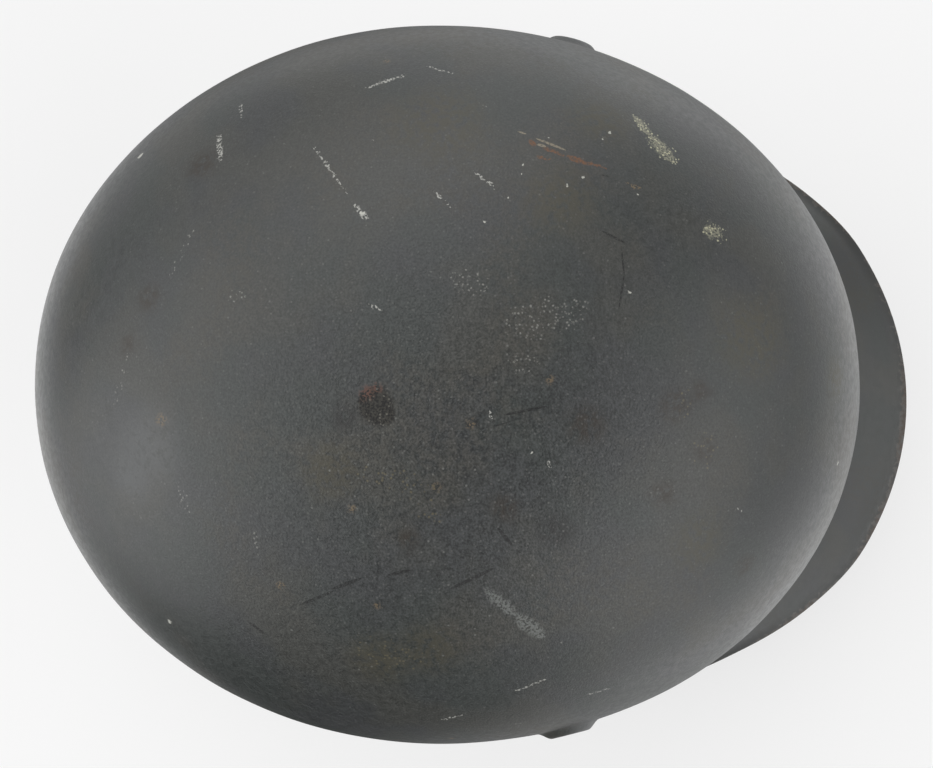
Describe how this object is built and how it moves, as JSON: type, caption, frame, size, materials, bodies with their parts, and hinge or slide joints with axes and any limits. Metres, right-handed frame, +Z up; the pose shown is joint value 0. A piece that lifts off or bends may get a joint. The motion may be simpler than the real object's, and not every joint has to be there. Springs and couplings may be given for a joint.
{
  "type": "steel combat helmet",
  "caption": "Pressed steel combat helmet shell with a front visor, flared skirt and neck guard, side vents and liner rivets, painted matt slate grey.",
  "frame": {"origin": "centre of the helmet's footprint, in the plane of the skirt's lower rim that it stands on", "axes": "-Y the way the wearer looks, +X to the wearer's left, +Z up through the crown"},
  "size_m": [0.232, 0.2854, 0.165],
  "materials": {
    "shell_paint": "rough matt slate grey paint, worn and scratched",
    "rivet_paint": "matt slate grey paint, worn"
  },
  "bodies": {
    "root": {"shell": "shell_paint", "rivet_left": "rivet_paint", "rivet_right": "rivet_paint", "rivet_rear": "rivet_paint"}
  },
  "joints": []
}
